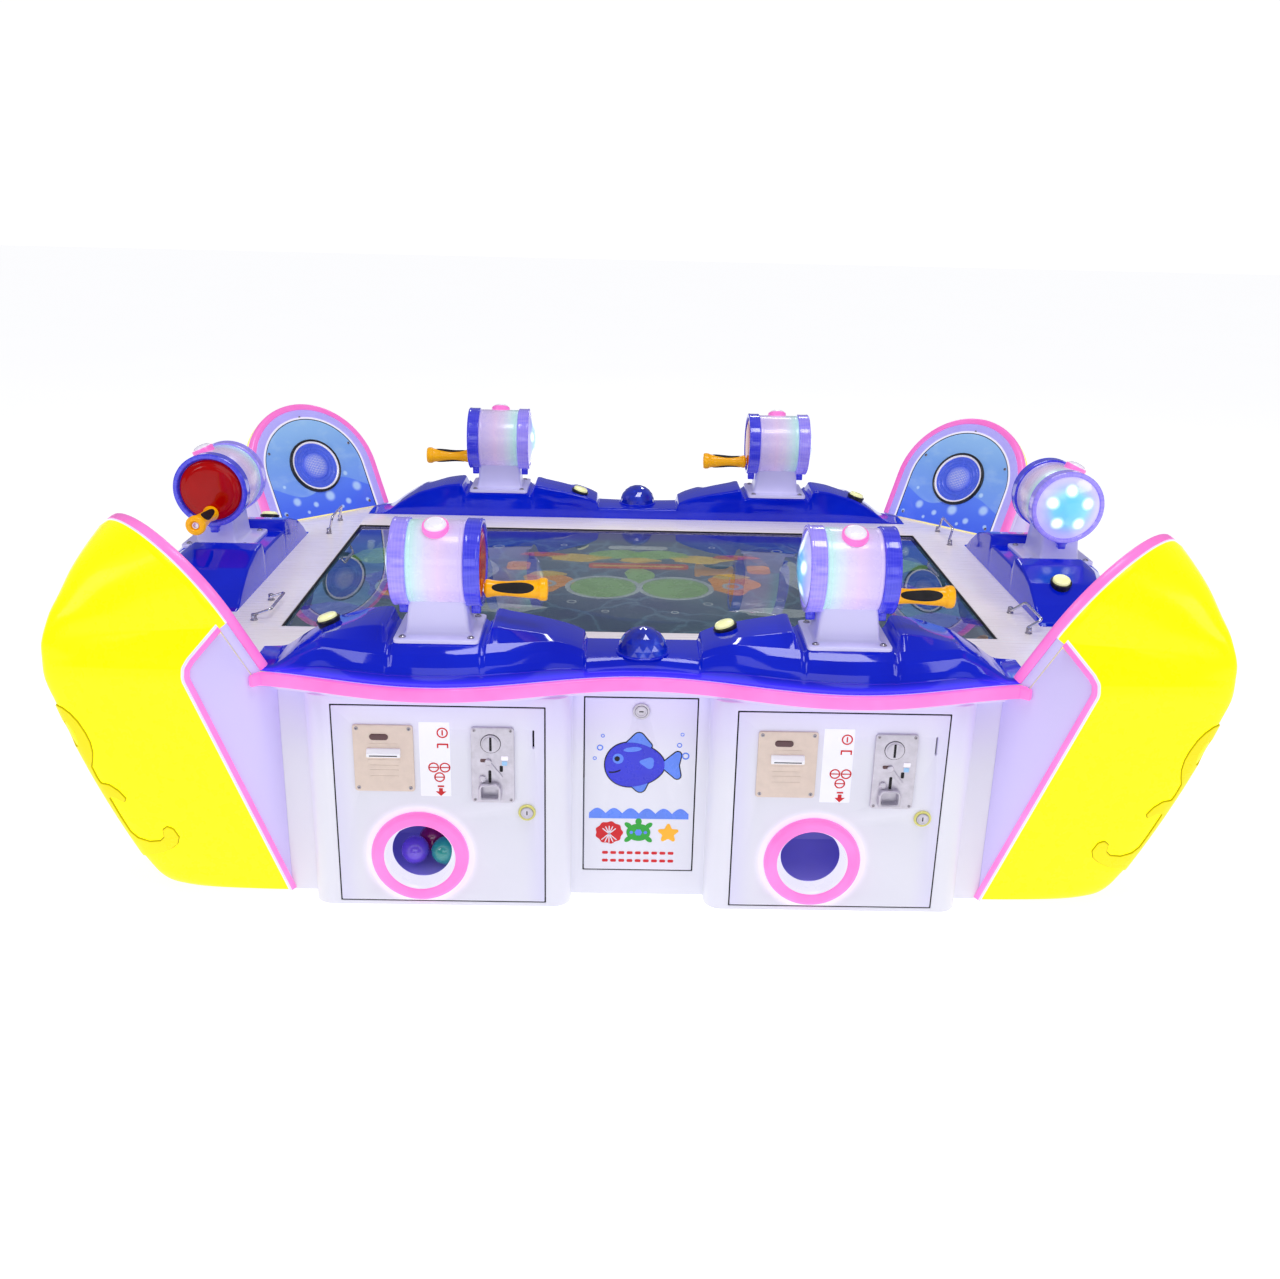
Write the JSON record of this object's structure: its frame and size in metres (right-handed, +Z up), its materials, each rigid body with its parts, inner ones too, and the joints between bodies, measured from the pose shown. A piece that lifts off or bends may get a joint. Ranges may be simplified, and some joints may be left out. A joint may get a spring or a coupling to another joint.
{
  "type": "reel crank game table",
  "caption": "Low arcade game table with a flat screen under glass, crank reels with grips and buttons, capsule prize doors, moulded consoles and bow-shaped corner units with speakers.",
  "frame": {"origin": "centre of the footprint on the floor", "axes": "+Z up; +X along the table's long side, to the right as seen from the front; -Y towards the front, which has the stocked prize outlet"},
  "size_m": [1.7438, 1.226, 0.6202],
  "materials": {
    "rubber_feet": "matt",
    "white_laminate": "smooth laminated board",
    "screen": "glossy display",
    "clear_glass": "polished",
    "pearl_sheet": "satin pearl",
    "blue_gloss": "high gloss",
    "pink_edge": "soft gloss",
    "clear_blue": "clear, high gloss",
    "yellow_shell": "translucent, lit from inside",
    "white_panel": "gloss",
    "black_plastic": "matt",
    "white_plastic": "gloss",
    "drum_white": "translucent, lit from inside",
    "ring_blue": "translucent",
    "lens_clear": "clear dome",
    "circuit_green": "circuit board",
    "red_gloss": "glossy translucent",
    "grip_yellow": "satin moulded",
    "button_cream": "translucent",
    "steel": "satin",
    "chrome_wire": "polished",
    "capsule_plastic": "gloss",
    "dark_metal": "powder coat"
  },
  "bodies": {
    "table": {"levelling_feet": "rubber_feet", "cabinet_carcass": "white_laminate", "top_deck": "white_laminate", "lcd_panel": "screen", "cover_glass": "clear_glass", "display_frame": "pearl_sheet", "consoles": "blue_gloss", "edge_mouldings": "pink_edge", "console_domes": "clear_blue", "corner_walls": "white_panel", "corner_shells": "yellow_shell", "corner_trims": "pink_edge", "arch_panels": "white_panel", "speakers": "black_plastic", "reel_pedestals": "white_plastic", "reel_drums": "drum_white", "reel_end_rings": "ring_blue", "reel_lenses": "lens_clear", "reel_internals": "circuit_green", "button_bezels": "black_plastic", "prize_chutes": "white_plastic", "game_electronics": "dark_metal", "capsules": "capsule_plastic", "fixings": "steel"},
    "crank_front_left": {"crank_front_left": "red_gloss"},
    "grip_front_left": {"grip_front_left": "grip_yellow"},
    "reel_button_front_left": {"reel_button_front_left": "white_plastic"},
    "console_button_front_left": {"console_button_front_left": "button_cream"},
    "prize_door_front_left": {"prize_door_front_left": "white_laminate"},
    "crank_front_right": {"crank_front_right": "red_gloss"},
    "grip_front_right": {"grip_front_right": "grip_yellow"},
    "reel_button_front_right": {"reel_button_front_right": "white_plastic"},
    "console_button_front_right": {"console_button_front_right": "button_cream"},
    "prize_door_front_right": {"prize_door_front_right": "white_laminate"},
    "crank_rear_left": {"crank_rear_left": "red_gloss"},
    "grip_rear_left": {"grip_rear_left": "grip_yellow"},
    "reel_button_rear_left": {"reel_button_rear_left": "white_plastic"},
    "console_button_rear_left": {"console_button_rear_left": "button_cream"},
    "prize_door_rear_left": {"prize_door_rear_left": "white_laminate"},
    "crank_rear_right": {"crank_rear_right": "red_gloss"},
    "grip_rear_right": {"grip_rear_right": "grip_yellow"},
    "reel_button_rear_right": {"reel_button_rear_right": "white_plastic"},
    "console_button_rear_right": {"console_button_rear_right": "button_cream"},
    "prize_door_rear_right": {"prize_door_rear_right": "white_laminate"},
    "crank_left_end": {"crank_left_end": "red_gloss"},
    "grip_left_end": {"grip_left_end": "grip_yellow"},
    "reel_button_left_end": {"reel_button_left_end": "white_plastic"},
    "console_button_left_end": {"console_button_left_end": "button_cream"},
    "prize_door_left_end": {"prize_door_left_end": "white_laminate"},
    "crank_right_end": {"crank_right_end": "red_gloss"},
    "grip_right_end": {"grip_right_end": "grip_yellow"},
    "reel_button_right_end": {"reel_button_right_end": "white_plastic"},
    "console_button_right_end": {"console_button_right_end": "button_cream"},
    "prize_door_right_end": {"prize_door_right_end": "white_laminate"},
    "service_door_front": {"service_door_front": "white_laminate"},
    "service_door_rear": {"service_door_rear": "white_laminate"},
    "bail_front_left": {"bail_front_left": "chrome_wire"},
    "bail_front_right": {"bail_front_right": "chrome_wire"},
    "bail_rear_left": {"bail_rear_left": "chrome_wire"},
    "bail_rear_right": {"bail_rear_right": "chrome_wire"}
  },
  "joints": [
    {"name": "crank_turn_front_left", "type": "hinge", "parent": "table", "child": "crank_front_left", "pos_m": [-0.243, -0.482, 0.548], "axis": [1, 0, 0], "continuous": true},
    {"name": "grip_spin_front_left", "type": "hinge", "parent": "crank_front_left", "child": "grip_front_left", "pos_m": [-0.193, -0.482, 0.508], "axis": [1, 0, 0], "continuous": true},
    {"name": "reel_button_press_front_left", "type": "slide", "parent": "table", "child": "reel_button_front_left", "axis": [0, 0.4067, -0.9135], "range_m": [0, 0.003], "stiffness_N_per_m": 300, "springref_m": -0.003},
    {"name": "console_button_press_front_left", "type": "slide", "parent": "table", "child": "console_button_front_left", "axis": [0.309, 0, -0.9511], "range_m": [0, 0.003], "stiffness_N_per_m": 300, "springref_m": -0.003},
    {"name": "prize_door_swing_front_left", "type": "hinge", "parent": "table", "child": "prize_door_front_left", "pos_m": [-0.46225, -0.5465, 0.1785], "axis": [0, 0, -1], "range_deg": [0, 95]},
    {"name": "crank_turn_front_right", "type": "hinge", "parent": "table", "child": "crank_front_right", "pos_m": [0.363, -0.482, 0.548], "axis": [1, 0, 0], "continuous": true},
    {"name": "grip_spin_front_right", "type": "hinge", "parent": "crank_front_right", "child": "grip_front_right", "pos_m": [0.413, -0.482, 0.508], "axis": [1, 0, 0], "continuous": true},
    {"name": "reel_button_press_front_right", "type": "slide", "parent": "table", "child": "reel_button_front_right", "axis": [0, 0.4067, -0.9135], "range_m": [0, 0.003], "stiffness_N_per_m": 300, "springref_m": -0.003},
    {"name": "console_button_press_front_right", "type": "slide", "parent": "table", "child": "console_button_front_right", "axis": [0.309, 0, -0.9511], "range_m": [0, 0.003], "stiffness_N_per_m": 300, "springref_m": -0.003},
    {"name": "prize_door_swing_front_right", "type": "hinge", "parent": "table", "child": "prize_door_front_right", "pos_m": [0.14375, -0.5465, 0.1785], "axis": [0, 0, -1], "range_deg": [0, 95]},
    {"name": "crank_turn_rear_left", "type": "hinge", "parent": "table", "child": "crank_rear_left", "pos_m": [-0.363, 0.482, 0.548], "axis": [-1, 0, 0], "continuous": true},
    {"name": "grip_spin_rear_left", "type": "hinge", "parent": "crank_rear_left", "child": "grip_rear_left", "pos_m": [-0.413, 0.482, 0.508], "axis": [-1, 0, 0], "continuous": true},
    {"name": "reel_button_press_rear_left", "type": "slide", "parent": "table", "child": "reel_button_rear_left", "axis": [0, -0.4067, -0.9135], "range_m": [0, 0.003], "stiffness_N_per_m": 300, "springref_m": -0.003},
    {"name": "console_button_press_rear_left", "type": "slide", "parent": "table", "child": "console_button_rear_left", "axis": [-0.309, 0, -0.9511], "range_m": [0, 0.003], "stiffness_N_per_m": 300, "springref_m": -0.003},
    {"name": "prize_door_swing_rear_left", "type": "hinge", "parent": "table", "child": "prize_door_rear_left", "pos_m": [-0.14375, 0.5465, 0.1785], "axis": [0, 0, -1], "range_deg": [0, 95]},
    {"name": "crank_turn_rear_right", "type": "hinge", "parent": "table", "child": "crank_rear_right", "pos_m": [0.243, 0.482, 0.548], "axis": [-1, 0, 0], "continuous": true},
    {"name": "grip_spin_rear_right", "type": "hinge", "parent": "crank_rear_right", "child": "grip_rear_right", "pos_m": [0.193, 0.482, 0.508], "axis": [-1, 0, 0], "continuous": true},
    {"name": "reel_button_press_rear_right", "type": "slide", "parent": "table", "child": "reel_button_rear_right", "axis": [0, -0.4067, -0.9135], "range_m": [0, 0.003], "stiffness_N_per_m": 300, "springref_m": -0.003},
    {"name": "console_button_press_rear_right", "type": "slide", "parent": "table", "child": "console_button_rear_right", "axis": [-0.309, 0, -0.9511], "range_m": [0, 0.003], "stiffness_N_per_m": 300, "springref_m": -0.003},
    {"name": "prize_door_swing_rear_right", "type": "hinge", "parent": "table", "child": "prize_door_rear_right", "pos_m": [0.46225, 0.5465, 0.1785], "axis": [0, 0, -1], "range_deg": [0, 95]},
    {"name": "crank_turn_left_end", "type": "hinge", "parent": "table", "child": "crank_left_end", "pos_m": [-0.767, -0.06, 0.548], "axis": [0, -1, 0], "continuous": true},
    {"name": "grip_spin_left_end", "type": "hinge", "parent": "crank_left_end", "child": "grip_left_end", "pos_m": [-0.767, -0.11, 0.508], "axis": [0, -1, 0], "continuous": true},
    {"name": "reel_button_press_left_end", "type": "slide", "parent": "table", "child": "reel_button_left_end", "axis": [0.4067, 0, -0.9135], "range_m": [0, 0.003], "stiffness_N_per_m": 300, "springref_m": -0.003},
    {"name": "console_button_press_left_end", "type": "slide", "parent": "table", "child": "console_button_left_end", "axis": [0, -0.309, -0.9511], "range_m": [0, 0.003], "stiffness_N_per_m": 300, "springref_m": -0.003},
    {"name": "prize_door_swing_left_end", "type": "hinge", "parent": "table", "child": "prize_door_left_end", "pos_m": [-0.8315, 0.15925, 0.1785], "axis": [0, 0, -1], "range_deg": [0, 95]},
    {"name": "crank_turn_right_end", "type": "hinge", "parent": "table", "child": "crank_right_end", "pos_m": [0.767, 0.06, 0.548], "axis": [0, 1, 0], "continuous": true},
    {"name": "grip_spin_right_end", "type": "hinge", "parent": "crank_right_end", "child": "grip_right_end", "pos_m": [0.767, 0.11, 0.508], "axis": [0, 1, 0], "continuous": true},
    {"name": "reel_button_press_right_end", "type": "slide", "parent": "table", "child": "reel_button_right_end", "axis": [-0.4067, 0, -0.9135], "range_m": [0, 0.003], "stiffness_N_per_m": 300, "springref_m": -0.003},
    {"name": "console_button_press_right_end", "type": "slide", "parent": "table", "child": "console_button_right_end", "axis": [0, 0.309, -0.9511], "range_m": [0, 0.003], "stiffness_N_per_m": 300, "springref_m": -0.003},
    {"name": "prize_door_swing_right_end", "type": "hinge", "parent": "table", "child": "prize_door_right_end", "pos_m": [0.8315, -0.15925, 0.1785], "axis": [0, 0, -1], "range_deg": [0, 95]},
    {"name": "service_door_drop_front", "type": "hinge", "parent": "table", "child": "service_door_front", "pos_m": [0, -0.5045, 0.04925], "axis": [1, 0, 0], "range_deg": [0, 90]},
    {"name": "service_door_drop_rear", "type": "hinge", "parent": "table", "child": "service_door_rear", "pos_m": [0, 0.5045, 0.04925], "axis": [-1, 0, 0], "range_deg": [0, 90]},
    {"name": "bail_swing_front_left", "type": "hinge", "parent": "table", "child": "bail_front_left", "pos_m": [-0.636, -0.248, 0.396], "axis": [0, 1, 0], "range_deg": [-132, 15]},
    {"name": "bail_swing_front_right", "type": "hinge", "parent": "table", "child": "bail_front_right", "pos_m": [0.645, -0.244, 0.396], "axis": [0, 1, 0], "range_deg": [-141, 6]},
    {"name": "bail_swing_rear_left", "type": "hinge", "parent": "table", "child": "bail_rear_left", "pos_m": [-0.634, 0.304, 0.396], "axis": [0, 1, 0], "range_deg": [-76, 71]},
    {"name": "bail_swing_rear_right", "type": "hinge", "parent": "table", "child": "bail_rear_right", "pos_m": [0.646, 0.308, 0.396], "axis": [0, 1, 0], "range_deg": [-97, 50]}
  ]
}
